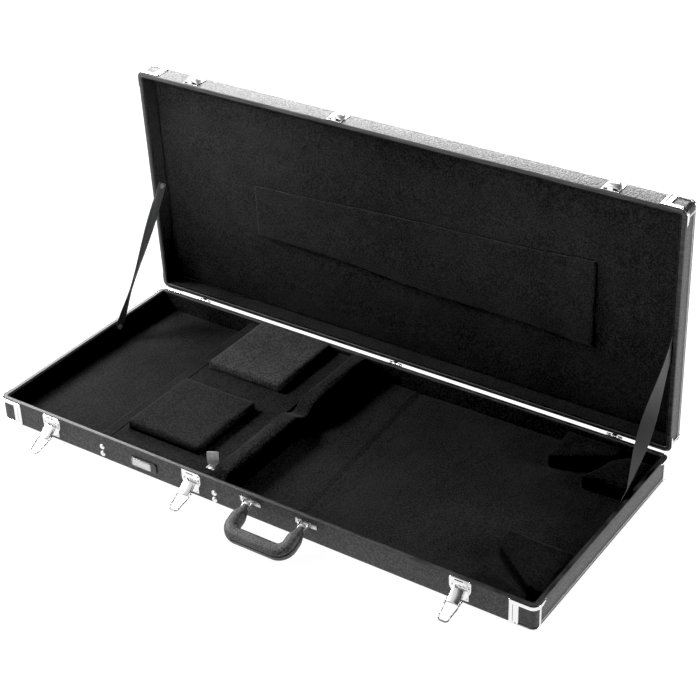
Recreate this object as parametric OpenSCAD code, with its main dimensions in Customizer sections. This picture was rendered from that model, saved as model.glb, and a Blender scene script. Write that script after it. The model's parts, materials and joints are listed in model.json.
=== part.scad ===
// Rectangular hard case for an electric guitar, standing open on its back panel.
// Millimetres, +Z up. The origin is the centre of the base's underside, +X runs from the
// headstock end to the body end, and +Y from the handle side to the hinge side.
// Lid pieces are drawn as they lie when the case is shut, and on_lid() swings them open.

/* [Case] */
// Length of the case over the covered panels
case_l = 1140; // [1080:5:1200]
// Width of the case over the covered panels
case_w = 480; // [460:5:500]
// Depth of the base tray
base_h = 50; // [48:1:54]
// Depth of the lid tray
lid_h = 40; // [38:1:46]
// Radius of the upright corners
corner_r = 12; // [9:0.5:14]
// Gap between the two rims when shut
rim_gap = 0.6; // [0.4:0.1:1]
// Angle that the stay straps let the lid open to
lid_open = 88; // [84:1:92]

/* [Panels] */
// Plywood thickness of the side walls
wall_t = 6; // [5:0.5:7]
// Plywood thickness of the large panels
panel_t = 5; // [4:0.5:6]
// Thickness of the plush lining on walls and lid
lining_t = 3; // [2:0.5:4]
// Radius of the bead on the end walls
bead_r = 1.3; // [1:0.1:1.5]

/* [Interior] */
// Height of the padded floor above the underside
floor_z = 13; // [10:1:15]
// X of the left face of the left divider
left_divider_x = -336; // [-345:1:-330]
// Thickness of the left divider
left_divider_t = 13; // [10:1:14]
// X of the right face of the right divider
right_divider_x = -46; // [-50:1:-40]
// Thickness of the padded right divider
right_divider_t = 34; // [30:1:36]
// Height of the top of the right divider
right_divider_z = 60; // [56:1:62]
// Height of the lowest point of the neck dip in the right divider
dip_z = 44.5; // [44:0.5:50]
// Height of the top of the compartment lid
compartment_z = 44; // [42:0.5:45]
// Thickness of the compartment lid board
compartment_t = 6; // [4:0.5:6]
// Height of the neck pads above the compartment lid
neck_pad_h = 17; // [14:1:18]
// Height of the top of the corner bolsters
bolster_z = 40; // [36:1:42]
// Thickness of the raised pad in the lid
lid_pad_t = 7; // [5:1:9]

/* [Hinges] */
// Width of a hinge along the case
hinge_w = 30; // [26:1:36]
// Distance of the hinge axis behind the back wall
hinge_out = 3.5; // [3:0.5:8]
// Radius of a hinge knuckle
knuckle_r = 3; // [2.6:0.1:3.2]
// Radius of a hinge pin
hinge_pin_r = 1.5; // [1.3:0.1:1.6]

/* [Latches] */
// Width of a latch plate at the top
latch_w = 42; // [38:1:44]
// Angle that an open lever stands off its plate
lever_open = 50; // [40:1:55]
// Distance from the lever's pivot to the loop's pivot
lever_crank = 12; // [11:0.5:13]
// Length of a wire loop from its pivot to its crossbar
loop_l = 44; // [42:0.5:45]
// Radius of the loop wire
wire_r = 1.5; // [1.3:0.1:1.6]

/* [Handle] */
// Distance between the handle's two legs
handle_span = 117; // [112:1:124]
// X of the middle of the handle
handle_x = 74; // [60:1:80]
// Distance from the handle's pivot to the middle of its grip
handle_reach = 63; // [60:1:68]
// Radius of the grip
grip_r = 13.5; // [10:0.5:14]
// Radius of the handle's bends at their middle
grip_bend_r = 24; // [20:1:28]

/* [Stay straps] */
// Width of the webbing
strap_w = 25; // [20:1:30]
// Thickness of the webbing
strap_t = 1.4; // [1:0.1:2]

/* [Hidden] */
$fn = 48;
small_fn = 32;
skin = 1.2;                 // pressed steel of the corners and levers
plate_t = 1.5;              // pressed steel of the plates
clear = 0.05;               // radial clearance of a pin in its bore
half_l = case_l / 2;
half_w = case_w / 2;
lid_z = base_h + rim_gap;   // underside of the shut lid's rim
top_z = lid_z + lid_h;      // top of the shut case
inner_l = half_l - wall_t - lining_t;
inner_w = half_w - wall_t - lining_t;
hinge_y = half_w + hinge_out;
hinge_z = base_h - 1;
hinge_xs = [-464, 0, 464];
latch_xs = [-444, -115, 433];
bead_z = 9;                 // height of the bead on the base's end walls
bead_groove = 1.5;
compartment_l = left_divider_x + left_divider_t;        // left divider's right face
divider_l = right_divider_x - right_divider_t;          // right divider's left face
lid_board_l = compartment_l + 1;
lid_board_r = divider_l - 2;
lid_board_w = inner_w - 3;
dip_y = 16;                 // middle of the neck dip
dip_half = 38;              // half of its width at the top
floor_seam = [66, 100];     // X of the floor's seam at the hinge side and the handle side
lever_w = 21.2;
pivot_y = -half_w - 6;      // lever pivot
pivot_z = 26;
loop_half = lever_w / 2 + 0.5 + wire_r;
crank_y = pivot_y - lever_crank * sin(lever_open);
crank_z = pivot_z - lever_crank * cos(lever_open);
loop_drop = asin((crank_z - wire_r - 0.1) / loop_l);    // loop's slope down to the floor
handle_y = -half_w - 8;     // handle pivot
handle_z = 36;
handle_pin_r = 2;
handle_drop = asin((handle_z - grip_r - 0.3) / handle_reach);
strap_low = [86, 38];       // [y, z] of the webbing's lower and upper ends, lid open
strap_high = [253, 282];
strap_x = inner_l - 2.6;
tab_x = -94;
tab_y = -206;

// ---- shared shapes -------------------------------------------------------------------

// Swings a piece drawn on the shut lid to the lid's open place.
module on_lid() {
    translate([0, hinge_y, hinge_z]) rotate([-lid_open, 0, 0])
        translate([0, -hinge_y, -hinge_z]) children();
}

// Extrudes a [y, z] profile along X from x0 to x1.
module along_x(x0, x1) {
    translate([x0, 0, 0]) rotate([90, 0, 90]) linear_extrude(x1 - x0) children();
}

// Rectangle with round corners, centred on the origin.
module round_rect(l, w, r) {
    square([l - 2 * r, w], center = true);
    square([l, w - 2 * r], center = true);
    for (x = [-1, 1], y = [-1, 1])
        translate([x * (l / 2 - r), y * (w / 2 - r)]) circle(r);
}

// Frame between the case's outline moved in by a and by b.
module outline_ring(a, b) {
    difference() {
        round_rect(case_l - 2 * a, case_w - 2 * a, corner_r - a);
        round_rect(case_l - 2 * b, case_w - 2 * b, corner_r - b);
    }
}

// Part of the frame that belongs to one side, mitred at the corners.
module mitre(side) {
    reach = 60;
    l = half_l + 5;
    w = half_w + 5;
    y = side == "front" ? -1 : 1;
    x = side == "left" ? -1 : 1;
    if (side == "front" || side == "back")
        polygon([[-l, y * w], [l, y * w], [l - reach, y * (w - reach)],
                 [reach - l, y * (w - reach)]]);
    else
        polygon([[x * l, -w], [x * l, w], [x * (l - reach), w - reach],
                 [x * (l - reach), reach - w]]);
}

// One side wall of a tray, from z0 to z1.
module wall(side, z0, z1) {
    translate([0, 0, z0]) linear_extrude(z1 - z0) intersection() {
        outline_ring(0, wall_t);
        mitre(side);
    }
}

// The four plush-covered strips inside a tray's walls.
module wall_lining(z0, z1) {
    gap = 0.2;              // lets the strips meet without touching at the corners
    difference() {
        translate([0, 0, z0]) linear_extrude(z1 - z0) difference() {
            round_rect(case_l - 2 * wall_t, case_w - 2 * wall_t, corner_r - wall_t);
            square([2 * inner_l, 2 * inner_w], center = true);
        }
        for (x = [-1, 1], y = [-1, 1])
            translate([x * (half_l - wall_t), y * (half_w - wall_t), (z0 + z1) / 2])
                rotate([0, 0, x * y * 45]) cube([30, gap, z1], center = true);
    }
}

// Bead along both end walls at height z.
module end_beads(z) {
    for (x = [-1, 1])
        translate([x * (half_l - bead_groove + bead_r), half_w - corner_r, z])
            rotate([90, 0, 0]) cylinder(r = bead_r, h = case_w - 2 * corner_r);
}

// Groove that holds the bead in an end wall.
module bead_groove_cut(z) {
    for (x = [-1, 1])
        translate([x * half_l, 0, z])
            cube([2 * bead_groove, case_w - 2 * corner_r + 0.2, 2 * bead_r + 0.2], center = true);
}

// Dome-headed rivet on a wall, its head towards -Y.
module rivet(x, y, z, r) {
    translate([x, y, z]) rotate([90, 0, 0]) intersection() {
        cylinder(r = r, h = r);
        translate([0, 0, -0.9 * r]) sphere(1.4 * r, $fn = small_fn);
    }
}

// Four pressed corners of a tray between z0 and z1, the wide band at the rim's height.
module corner_irons(z0, z1, rim_z) {
    front_l = 48;           // reach along the long side
    end_l = 29;             // reach along the end
    band = 10;              // wide band at the rim
    lip = 4;                // thin band at the outer panel
    leg = 9;                // upright leg at the end of each band
    window = rim_z > (z0 + z1) / 2 ? [z0 + lip, z1 - band] : [z0 + band, z1 - lip];
    for (sx = [-1, 1], sy = [-1, 1])
        difference() {
            translate([0, 0, z0]) linear_extrude(z1 - z0) intersection() {
                outline_ring(-skin, 0);
                translate([sx * (half_l - front_l / 2 + 5), sy * (half_w - end_l / 2 + 5)])
                    square([front_l + 10, end_l + 10], center = true);
            }
            // open window on the long side, between the leg and the corner's round
            translate([sx * (half_l - corner_r - (front_l - corner_r - leg) / 2),
                       sy * half_w, (window[0] + window[1]) / 2])
                cube([front_l - corner_r - leg, 8, window[1] - window[0]], center = true);
            // open window on the end
            translate([sx * half_l, sy * (half_w - corner_r - (end_l - corner_r) / 2 - 0.5),
                       (window[0] + window[1]) / 2])
                cube([8, end_l - corner_r + 1, window[1] - window[0]], center = true);
        }
}

// ---- base tray -----------------------------------------------------------------------

module base_bottom_panel() {
    color("#2b2b2d") linear_extrude(panel_t) round_rect(case_l, case_w, corner_r);
}

module base_front_wall() {
    color("#2e2e30") wall("front", panel_t, base_h);
}

module base_back_wall() {
    color("#2e2e30") wall("back", panel_t, base_h);
}

module base_end_wall(side) {
    color("#2e2e30") difference() {
        wall(side, panel_t, base_h);
        bead_groove_cut(bead_z);
    }
}

module base_left_wall() { base_end_wall("left"); }

module base_right_wall() { base_end_wall("right"); }

module base_wall_lining() {
    color("#19191b") wall_lining(panel_t, base_h - 1.5);
}

module base_end_beads() {
    color("#8e8e90") end_beads(bead_z);
}

// Padded floor between two X positions.
module floor_pad(x0, x1) {
    translate([x0, -inner_w, panel_t]) cube([x1 - x0, 2 * inner_w, floor_z - panel_t]);
}

module headstock_floor_pad() {
    color("#161618") floor_pad(-inner_l, left_divider_x);
}

module compartment_floor_pad() {
    color("#161618") floor_pad(compartment_l, divider_l);
}

module body_floor_pad_left() {
    color("#161618") translate([0, 0, panel_t]) linear_extrude(floor_z - panel_t)
        polygon([[right_divider_x, -inner_w], [floor_seam[1], -inner_w],
                 [floor_seam[0], inner_w], [right_divider_x, inner_w]]);
}

module body_floor_pad_right() {
    seam_gap = 0.6;
    color("#161618") translate([0, 0, panel_t]) linear_extrude(floor_z - panel_t)
        polygon([[floor_seam[1] + seam_gap, -inner_w], [inner_l, -inner_w],
                 [inner_l, inner_w], [floor_seam[0] + seam_gap, inner_w]]);
}

module left_divider() {
    color("#232325") translate([left_divider_x, -inner_w, panel_t])
        cube([left_divider_t, 2 * inner_w, compartment_z - panel_t]);
}

// Divider with a dip for the neck, cosine-shaped across the case.
module right_divider() {
    steps = 16;
    depth = right_divider_z - dip_z;
    bevel = 16;             // slope of the two ends, down to just under the rim
    dip = [for (i = [0 : steps])
        let (t = i / steps * 2 - 1)
        [dip_y + t * dip_half, right_divider_z - depth * (1 + cos(180 * t)) / 2]];
    color("#232325") along_x(divider_l, right_divider_x)
        polygon(concat([[-inner_w, panel_t], [-inner_w, right_divider_z - bevel],
                        [bevel - inner_w, right_divider_z]], dip,
                       [[inner_w - bevel, right_divider_z],
                        [inner_w, right_divider_z - bevel], [inner_w, panel_t]]));
}

module compartment_ledges() {
    ledge = 8;
    z = compartment_z - compartment_t;
    color("#232325") for (y = [-inner_w, inner_w - ledge])
        translate([compartment_l, y, z - ledge])
            cube([divider_l - compartment_l, ledge, ledge]);
}

// Foam block on the floor with the given outline.
module bolster(points) {
    color("#1d1d1f") translate([0, 0, floor_z]) linear_extrude(bolster_z - floor_z)
        polygon(points);
}

module bolster_rear_side() {
    bolster([[380, inner_w], [383, 146], [390, 143], [487, 203], [492, inner_w]]);
}

module bolster_rear_end() {
    bolster([[463, 119], [inner_l, 122], [inner_l, 214], [507, 212], [486, 190]]);
}

module bolster_front_end() {
    bolster([[432, -75], [431, -112], [440, -124], [528, -189], [inner_l, -192],
             [inner_l, -77]]);
}

module bolster_front_side() {
    bolster([[432, -inner_w], [437, -176], [444, -173], [540, -210], [544, -inner_w]]);
}

module base_corner_irons() {
    color("#d9dbdd") corner_irons(0, base_h, base_h);
}

// ---- hinges --------------------------------------------------------------------------

// Arm and knuckle of a hinge in [y, z], from the end of its leaf at height z_near.
module hinge_arm(z_near) {
    polygon([[half_w, z_near], [half_w + plate_t, z_near],
             [hinge_y - 1, hinge_z + sign(z_near - hinge_z) * 2.4],
             [hinge_y, hinge_z], [hinge_y - 2.4, hinge_z + sign(z_near - hinge_z)]]);
    translate([hinge_y, hinge_z]) circle(knuckle_r);
}

module hinge_bore(x) {
    translate([x - hinge_w, hinge_y, hinge_z]) rotate([0, 90, 0])
        cylinder(r = hinge_pin_r + clear, h = 2 * hinge_w);
}

module hinge_base_leaves() {
    leaf_z = hinge_z - 7;
    color("#cfd1d3") for (x = hinge_xs)
        difference() {
            union() {
                translate([x - hinge_w / 2, half_w, leaf_z - 20])
                    cube([hinge_w, plate_t, 20]);
                along_x(x - hinge_w / 2, x - hinge_w / 6) hinge_arm(leaf_z);
                along_x(x + hinge_w / 6, x + hinge_w / 2) hinge_arm(leaf_z);
            }
            hinge_bore(x);
        }
}

module hinge_lid_leaves() {
    leaf_z = hinge_z + 8;
    color("#cfd1d3") on_lid() for (x = hinge_xs)
        difference() {
            union() {
                translate([x - hinge_w / 2, half_w, leaf_z]) cube([hinge_w, plate_t, 20]);
                along_x(x - hinge_w / 6 + 0.2, x + hinge_w / 6 - 0.2) hinge_arm(leaf_z);
            }
            hinge_bore(x);
        }
}

module hinge_pins() {
    color("#b9bbbd") for (x = hinge_xs)
        translate([x - hinge_w / 2 - 0.5, hinge_y, hinge_z]) rotate([0, 90, 0])
            cylinder(r = hinge_pin_r, h = hinge_w + 1);
}

// ---- latches -------------------------------------------------------------------------

// Plate outline in [x, z]: wide at the rim and narrower below the waist.
module latch_outline() {
    w = latch_w / 2;
    foot = 16.5;
    polygon([[-w, 46], [-w, 30], [-w + 1, 26], [-foot, 20], [-foot, 7], [foot, 7],
             [foot, 20], [w - 1, 26], [w, 30], [w, 46], [w - 2.5, 48.6], [2.5 - w, 48.6]]);
}

module latch_plates() {
    color("#d9dbdd") for (x = latch_xs)
        translate([x, -half_w, 0]) rotate([90, 0, 0]) linear_extrude(plate_t)
            difference() {
                latch_outline();
                translate([-10, 43]) square([16, 2]);
            }
}

// Two ears on each latch plate that hold the lever's pin.
module latch_ears() {
    ear_x = lever_w / 2 - skin - 0.2;   // outer face of an ear, inside the lever
    ear_r = 2.8;
    foot = -half_w - plate_t;
    color("#d9dbdd") for (x = latch_xs)
        translate([x, 0, 0]) difference() {
            for (side = [-ear_x, ear_x - skin])
                along_x(side, side + skin) {
                    translate([pivot_y, pivot_z - ear_r])
                        square([foot - pivot_y, 2 * ear_r]);
                    translate([pivot_y, pivot_z]) circle(ear_r, $fn = small_fn);
                }
            translate([-latch_w, pivot_y, pivot_z]) rotate([0, 90, 0])
                cylinder(r = wire_r + clear, h = 2 * latch_w);
        }
}

module latch_lever_pins() {
    color("#b9bbbd") for (x = latch_xs)
        translate([x - lever_w / 2 - 0.2, pivot_y, pivot_z]) rotate([0, 90, 0])
            cylinder(r = wire_r, h = lever_w + 0.4);
}

// Swings a piece drawn on a shut lever out to the lever's open place.
module on_lever() {
    translate([0, pivot_y, pivot_z]) rotate([-lever_open, 0, 0])
        translate([0, -pivot_y, -pivot_z]) children();
}

// Channel-shaped lever, its free end down when shut.
module latch_lever(x) {
    face = pivot_y - 4.6;
    crank = pivot_z - lever_crank;
    end_z = 4;
    color("#d9dbdd") on_lever() translate([x, 0, 0]) difference() {
        union() {
            translate([-lever_w / 2, face, end_z]) cube([lever_w, skin, 26]);
            translate([-lever_w / 2, face - 1.6, end_z]) cube([lever_w, 2, 2]);
            for (side = [-lever_w / 2, lever_w / 2 - skin])
                along_x(side, side + skin)
                    polygon([[face, end_z + 4], [pivot_y + 2.2, crank - 2.4],
                             [pivot_y + 2.6, pivot_z + 1], [pivot_y + 1, pivot_z + 2.8],
                             [face, pivot_z + 4]]);
        }
        for (z = [pivot_z, crank])
            translate([-lever_w, pivot_y, z]) rotate([0, 90, 0])
                cylinder(r = wire_r + clear, h = 2 * lever_w);
    }
}

module latch_lever_left() { latch_lever(latch_xs[0]); }

module latch_lever_middle() { latch_lever(latch_xs[1]); }

module latch_lever_right() { latch_lever(latch_xs[2]); }

// Wire loop, drawn from its pivot along -Y and then laid down to the floor.
module latch_loop(x) {
    bend = 8;
    color("#dfe1e3") translate([x, crank_y, crank_z]) rotate([loop_drop, 0, 0]) {
        for (s = [-1, 1]) {
            translate([s * (lever_w / 2 - skin - 1.4), 0, 0]) rotate([0, s * 90, 0])
                cylinder(r = wire_r, h = loop_half - lever_w / 2 + skin + 1.4);
            translate([s * loop_half, 0, 0]) sphere(wire_r, $fn = small_fn);
            translate([s * loop_half, 0, 0]) rotate([90, 0, 0])
                cylinder(r = wire_r, h = loop_l - bend);
            translate([s * (loop_half - bend), bend - loop_l, 0])
                rotate([0, 0, s > 0 ? -90 : -180]) rotate_extrude(angle = 90)
                    translate([bend, 0]) circle(wire_r, $fn = small_fn);
        }
        translate([bend - loop_half, -loop_l, 0]) rotate([0, 90, 0])
            cylinder(r = wire_r, h = 2 * (loop_half - bend));
    }
}

module latch_loop_left() { latch_loop(latch_xs[0]); }

module latch_loop_middle() { latch_loop(latch_xs[1]); }

module latch_loop_right() { latch_loop(latch_xs[2]); }

// Plate on the lid with the hook that a loop's crossbar pulls down on.
module lid_catches() {
    w = 32;
    hook = 5;               // half of the hook's width
    shelf_z = 53;
    color("#d9dbdd") on_lid() for (x = latch_xs)
        translate([x, 0, 0]) {
            translate([-w / 2, -half_w - plate_t, shelf_z]) cube([w, plate_t, 30]);
            along_x(-hook, hook)
                polygon([[-half_w - plate_t, shelf_z], [-half_w - 9.6, shelf_z + 0.6],
                         [-half_w - 9.8, shelf_z + 3], [-half_w - plate_t, shelf_z + 3]]);
        }
}

module base_rivets() {
    color("#e6e6e8") {
        for (x = latch_xs, s = [-1, 1])
            rivet(x + s * 15.5, -half_w - plate_t, 33, 2.4);
        for (x = latch_xs, s = [-1, 1])
            rivet(x + s * 12.5, -half_w - plate_t, 11, 2);
        for (x = [-1, 1], s = [-1, 1])
            rivet(handle_x + x * handle_span / 2 + s * 17, -half_w - plate_t, handle_z, 2.4);
        for (x = hinge_xs, s = [-1, 1])
            translate([x + s * 9, 0, 0]) mirror([0, 1, 0])
                rivet(0, -half_w - plate_t, hinge_z - 18, 2.2);
    }
}

module lid_rivets() {
    color("#e6e6e8") on_lid() {
        for (x = latch_xs, s = [-1, 1])
            rivet(x + s * 11, -half_w - plate_t, 74, 2.4);
        for (x = hinge_xs, s = [-1, 1])
            translate([x + s * 9, 0, 0]) mirror([0, 1, 0])
                rivet(0, -half_w - plate_t, hinge_z + 20, 2.2);
    }
}

// ---- handle --------------------------------------------------------------------------

// Plate with two ears for each end of the handle.
module handle_brackets() {
    ear_in = 8;
    ear_t = 2;
    ear_r = 4.4;
    color("#d9dbdd") for (s = [-1, 1])
        translate([handle_x + s * handle_span / 2, 0, 0]) difference() {
            union() {
                translate([-22, -half_w - plate_t, handle_z - 5]) cube([44, plate_t, 10]);
                for (x = [-ear_in - ear_t, ear_in])
                    along_x(x, x + ear_t) {
                        translate([handle_y, handle_z - ear_r])
                            square([-half_w - handle_y, 2 * ear_r]);
                        translate([handle_y, handle_z]) circle(ear_r, $fn = small_fn);
                    }
            }
            translate([-20, handle_y, handle_z]) rotate([0, 90, 0])
                cylinder(r = handle_pin_r + clear, h = 40);
        }
}

// Lays a piece of the handle, drawn from the pivot along -Y, down to the floor.
module on_handle() {
    translate([handle_x, handle_y, handle_z]) rotate([handle_drop, 0, 0]) children();
}

module handle_grip() {
    leg_start = 11;
    leg_x = handle_span / 2;
    color("#232325") on_handle() {
        for (s = [-1, 1]) {
            translate([s * leg_x, -leg_start, 0]) rotate([90, 0, 0])
                cylinder(r = grip_r, h = handle_reach - grip_bend_r - leg_start);
            translate([s * (leg_x - grip_bend_r), grip_bend_r - handle_reach, 0])
                rotate([0, 0, s > 0 ? -90 : -180]) rotate_extrude(angle = 90)
                    translate([grip_bend_r, 0]) circle(grip_r);
        }
        translate([grip_bend_r - leg_x, -handle_reach, 0]) rotate([0, 90, 0])
            cylinder(r = grip_r, h = 2 * (leg_x - grip_bend_r));
    }
}

// Steel tang and pivot pin at each end of the handle.
module handle_end_fittings() {
    tang = 15;
    color("#c9cbcd") on_handle() for (s = [-1, 1])
        translate([s * handle_span / 2, 0, 0]) {
            translate([-tang / 2, -11, -3]) cube([tang, 11, 6]);
            rotate([0, 90, 0]) cylinder(r = 3, h = tang, center = true);
            rotate([0, 90, 0]) cylinder(r = handle_pin_r, h = 22, center = true);
        }
}

// ---- trim on the front ---------------------------------------------------------------

module badge_plate() {
    color("#3a3a3c") translate([-224, -half_w, 23]) rotate([90, 0, 0]) linear_extrude(2.4)
        round_rect(60, 20, 4);
}

module divider_studs() {
    color("#e6e6e8") for (p = [[-322, 11], [-322, 26], [-65, 8], [-65, 22]])
        rivet(p[0], -half_w, p[1], 5);
}

// ---- lid tray ------------------------------------------------------------------------

module lid_top_panel() {
    color("#2b2b2d") on_lid() translate([0, 0, top_z - panel_t]) linear_extrude(panel_t)
        round_rect(case_l, case_w, corner_r);
}

module lid_front_wall() {
    color("#2e2e30") on_lid() wall("front", lid_z, top_z - panel_t);
}

module lid_back_wall() {
    color("#2e2e30") on_lid() wall("back", lid_z, top_z - panel_t);
}

module lid_end_wall(side) {
    color("#2e2e30") on_lid() difference() {
        wall(side, lid_z, top_z - panel_t);
        bead_groove_cut(top_z - bead_z);
    }
}

module lid_left_wall() { lid_end_wall("left"); }

module lid_right_wall() { lid_end_wall("right"); }

module lid_wall_lining() {
    color("#19191b") on_lid() wall_lining(lid_z + 1.5, top_z - panel_t);
}

module lid_top_lining() {
    color("#161618") on_lid() translate([0, 0, top_z - panel_t - lining_t])
        linear_extrude(lining_t) square([2 * inner_l, 2 * inner_w], center = true);
}

module lid_raised_pad() {
    color("#1d1d1f") on_lid() translate([0, 0, top_z - panel_t - lining_t - lid_pad_t])
        linear_extrude(lid_pad_t)
            polygon([[-330, -43], [-330, 64], [403, 91], [403, -83]]);
}

module lid_end_beads() {
    color("#8e8e90") on_lid() end_beads(top_z - bead_z);
}

module lid_corner_irons() {
    color("#d9dbdd") on_lid() corner_irons(lid_z, top_z, lid_z);
}

// ---- stay straps ---------------------------------------------------------------------

// Webbing from the base's end wall to the lid's, flat against them.
module stay_strap(side) {
    run = strap_high - strap_low;
    angle = atan2(run[1], run[0]);
    color("#3c3c3e") along_x(side * strap_x - strap_t / 2, side * strap_x + strap_t / 2)
        translate(strap_low) rotate(angle) translate([-6, -strap_w / 2])
            square([norm(run) + 12, strap_w]);
}

module stay_strap_left() { stay_strap(-1); }

module stay_strap_right() { stay_strap(1); }

// Screw and washer that hold one end of a strap to an end wall.
module strap_screw(side, p) {
    head = strap_x - strap_t / 2 - 0.2;
    translate([side * head, p[0], p[1]]) rotate([0, -side * 90, 0]) {
        cylinder(r = 6, h = 1);
        cylinder(r = 3.4, h = 2.4);
    }
}

module strap_lower_screws() {
    color("#c9cbcd") for (side = [-1, 1]) strap_screw(side, strap_low);
}

module strap_upper_screws() {
    color("#c9cbcd") for (side = [-1, 1]) strap_screw(side, strap_high);
}

// ---- accessory compartment -----------------------------------------------------------

module compartment_lid() {
    color("#1d1d1f") translate([lid_board_l, -lid_board_w, compartment_z - compartment_t])
        cube([lid_board_r - lid_board_l, 2 * lid_board_w, compartment_t]);
}

// Cloth strip on top of the left divider and the lid board, which bends as the hinge.
module compartment_hinge_cloth() {
    color("#232325") translate([compartment_l - 9, -lid_board_w, compartment_z])
        cube([20, 2 * lid_board_w, 0.8]);
}

module neck_pad(x0, x1, y0, y1) {
    color("#2c2c2e") translate([x0, y0, compartment_z]) cube([x1 - x0, y1 - y0, neck_pad_h]);
}

module rear_neck_pad() { neck_pad(-299, -135, 50, 222); }

module front_neck_pad() { neck_pad(-301, -139, -188, -19); }

module pull_tab() {
    color("#838385") translate([tab_x, tab_y, compartment_z]) {
        translate([-8, -6, 0]) cube([16, 12, 1.2]);
        translate([-11, 4.8, 1.2]) cube([22, 1.2, 31]);
    }
}

module pull_tab_rivet() {
    color("#e6e6e8") translate([tab_x, tab_y - 1, compartment_z + 1.2])
        cylinder(r = 4.2, h = 1.6);
}

base_bottom_panel();
base_front_wall();
base_back_wall();
base_left_wall();
base_right_wall();
base_wall_lining();
base_end_beads();
headstock_floor_pad();
compartment_floor_pad();
body_floor_pad_left();
body_floor_pad_right();
left_divider();
right_divider();
compartment_ledges();
bolster_rear_side();
bolster_rear_end();
bolster_front_end();
bolster_front_side();
base_corner_irons();
hinge_base_leaves();
hinge_pins();
latch_plates();
latch_ears();
latch_lever_pins();
base_rivets();
handle_brackets();
badge_plate();
divider_studs();
strap_lower_screws();
lid_top_panel();
lid_front_wall();
lid_back_wall();
lid_left_wall();
lid_right_wall();
lid_wall_lining();
lid_top_lining();
lid_raised_pad();
lid_end_beads();
lid_corner_irons();
hinge_lid_leaves();
lid_catches();
lid_rivets();
strap_upper_screws();
stay_strap_left();
stay_strap_right();
compartment_lid();
compartment_hinge_cloth();
rear_neck_pad();
front_neck_pad();
pull_tab();
pull_tab_rivet();
latch_lever_left();
latch_lever_middle();
latch_lever_right();
latch_loop_left();
latch_loop_middle();
latch_loop_right();
handle_grip();
handle_end_fittings();
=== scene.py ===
import json
import math

import bmesh
import bpy
import numpy as np
from mathutils import Matrix, Vector, noise


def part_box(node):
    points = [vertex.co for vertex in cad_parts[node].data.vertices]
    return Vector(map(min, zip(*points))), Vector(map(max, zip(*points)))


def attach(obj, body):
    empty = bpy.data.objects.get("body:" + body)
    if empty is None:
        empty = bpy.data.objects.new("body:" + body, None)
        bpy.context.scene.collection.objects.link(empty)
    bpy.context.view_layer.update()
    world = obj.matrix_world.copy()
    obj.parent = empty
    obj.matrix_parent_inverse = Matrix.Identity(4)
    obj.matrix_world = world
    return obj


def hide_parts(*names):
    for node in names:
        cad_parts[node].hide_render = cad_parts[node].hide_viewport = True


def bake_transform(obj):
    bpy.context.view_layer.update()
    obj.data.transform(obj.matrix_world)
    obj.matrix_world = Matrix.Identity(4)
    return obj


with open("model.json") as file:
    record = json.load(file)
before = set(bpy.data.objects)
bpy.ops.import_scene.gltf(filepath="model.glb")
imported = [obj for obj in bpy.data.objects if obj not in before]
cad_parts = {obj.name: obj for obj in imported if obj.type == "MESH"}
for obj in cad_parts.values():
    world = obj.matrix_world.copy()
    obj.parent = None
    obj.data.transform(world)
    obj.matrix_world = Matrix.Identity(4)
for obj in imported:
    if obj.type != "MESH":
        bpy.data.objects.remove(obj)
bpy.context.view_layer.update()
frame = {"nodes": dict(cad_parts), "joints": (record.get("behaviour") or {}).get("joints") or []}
scene = bpy.context.scene
MM = 0.001
UP = Vector((0, 0, 1))


# ---- camera, floor and light -----------------------------------------------------------

def look_from(target, azimuth, elevation, roll, distance, lens):
    """Camera on a sphere round target; azimuth 0 looks along +Y."""
    az, el, ro = (math.radians(a) for a in (azimuth, elevation, roll))
    back = Vector((math.sin(az) * math.cos(el), -math.cos(az) * math.cos(el), math.sin(el)))
    right = UP.cross(back).normalized()
    up = back.cross(right)
    right, up = (math.cos(ro) * right + math.sin(ro) * up,
                 math.cos(ro) * up - math.sin(ro) * right)
    data = bpy.data.cameras.new("camera")
    data.lens = lens
    data.clip_end = 60
    camera = bpy.data.objects.new("camera", data)
    scene.collection.objects.link(camera)
    turn = Matrix((right, up, back)).transposed().to_4x4()
    camera.matrix_world = Matrix.Translation(Vector(target) + distance * back) @ turn
    scene.camera = camera


def area_light(name, place, target, size, power, spread=180, diffuse=True):
    data = bpy.data.lights.new(name, "AREA")
    data.shape = "RECTANGLE"
    data.size, data.size_y = size
    data.energy = power
    data.spread = math.radians(spread)
    light = bpy.data.objects.new(name, data)
    scene.collection.objects.link(light)
    light.visible_diffuse = diffuse
    light.location = place
    light.rotation_euler = (Vector(target) - Vector(place)).to_track_quat("-Z", "Y").to_euler()


look_from((-0.1464, 0.3042, 0), 34.948, 31.850, -1.906, 3.3664, 86.629)
scene.view_settings.view_transform = "Standard"
scene.view_settings.use_curve_mapping = True
scene.view_settings.curve_mapping.black_level = (0.006, 0.006, 0.006)
scene.view_settings.curve_mapping.update()

world = bpy.data.worlds.new("studio")
scene.world = world
world.use_nodes = True
backdrop = world.node_tree.nodes["Background"]
backdrop.inputs["Color"].default_value = (0.96, 0.98, 1, 1)
backdrop.inputs["Strength"].default_value = 0.03

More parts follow.
